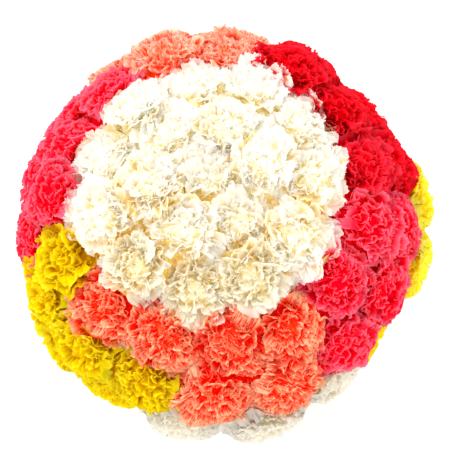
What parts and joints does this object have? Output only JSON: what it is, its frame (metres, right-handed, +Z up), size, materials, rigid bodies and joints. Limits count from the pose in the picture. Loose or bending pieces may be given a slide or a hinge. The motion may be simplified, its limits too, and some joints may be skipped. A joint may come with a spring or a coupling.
{
  "type": "carnation bouquet",
  "caption": "Round hand-tied bouquet of ruffled double carnations in several colours, standing on cut stems that cross in a spiral and spread below a twine tie.",
  "frame": {"origin": "on the surface that the cut stems stand on, below the middle of the bouquet", "axes": "+Z up; +X to the right and -Y to the front, as seen in the picture"},
  "size_m": [0.4174, 0.4134, 0.4235],
  "materials": {
    "petals_white": "matte, cream in the folds",
    "petals_apricot": "matte, red streaks in the folds",
    "petals_coral": "matte, pale rims over scarlet",
    "petals_rose": "matte, light pink rims",
    "petals_red": "matte, dark in the folds",
    "petals_yellow": "matte, amber in the folds",
    "stems": "satin, grey-green bloom",
    "twine": "matte, coarse fibre"
  },
  "bodies": {
    "root": {"bloom_apricot_01": "petals_apricot", "bloom_apricot_02": "petals_apricot", "bloom_apricot_03": "petals_apricot", "bloom_apricot_04": "petals_apricot", "bloom_apricot_05": "petals_apricot", "bloom_coral_01": "petals_coral", "bloom_coral_02": "petals_coral", "bloom_coral_03": "petals_coral", "bloom_coral_04": "petals_coral", "bloom_coral_05": "petals_coral", "bloom_coral_06": "petals_coral", "bloom_red_01": "petals_red", "bloom_red_02": "petals_red", "bloom_red_03": "petals_red", "bloom_red_04": "petals_red", "bloom_red_05": "petals_red", "bloom_rose_01": "petals_rose", "bloom_rose_02": "petals_rose", "bloom_rose_03": "petals_rose", "bloom_rose_04": "petals_rose", "bloom_rose_05": "petals_rose", "bloom_rose_06": "petals_rose", "bloom_rose_07": "petals_rose", "bloom_rose_08": "petals_rose", "bloom_rose_09": "petals_rose", "bloom_rose_10": "petals_rose", "bloom_rose_11": "petals_rose", "bloom_rose_12": "petals_rose", "bloom_white_01": "petals_white", "bloom_white_02": "petals_white", "bloom_white_03": "petals_white", "bloom_white_04": "petals_white", "bloom_white_05": "petals_white", "bloom_white_06": "petals_white", "bloom_white_07": "petals_white", "bloom_white_08": "petals_white", "bloom_white_09": "petals_white", "bloom_white_10": "petals_white", "bloom_white_11": "petals_white", "bloom_white_12": "petals_white", "bloom_white_13": "petals_white", "bloom_white_14": "petals_white", "bloom_white_15": "petals_white", "bloom_white_16": "petals_white", "bloom_white_17": "petals_white", "bloom_white_18": "petals_white", "bloom_white_19": "petals_white", "bloom_white_20": "petals_white", "bloom_white_21": "petals_white", "bloom_yellow_01": "petals_yellow", "bloom_yellow_02": "petals_yellow", "bloom_yellow_03": "petals_yellow", "bloom_yellow_04": "petals_yellow", "bloom_yellow_05": "petals_yellow", "bloom_yellow_06": "petals_yellow", "bloom_yellow_07": "petals_yellow", "bloom_yellow_08": "petals_yellow", "bloom_yellow_09": "petals_yellow", "stems": "stems", "tie": "twine"}
  },
  "joints": []
}
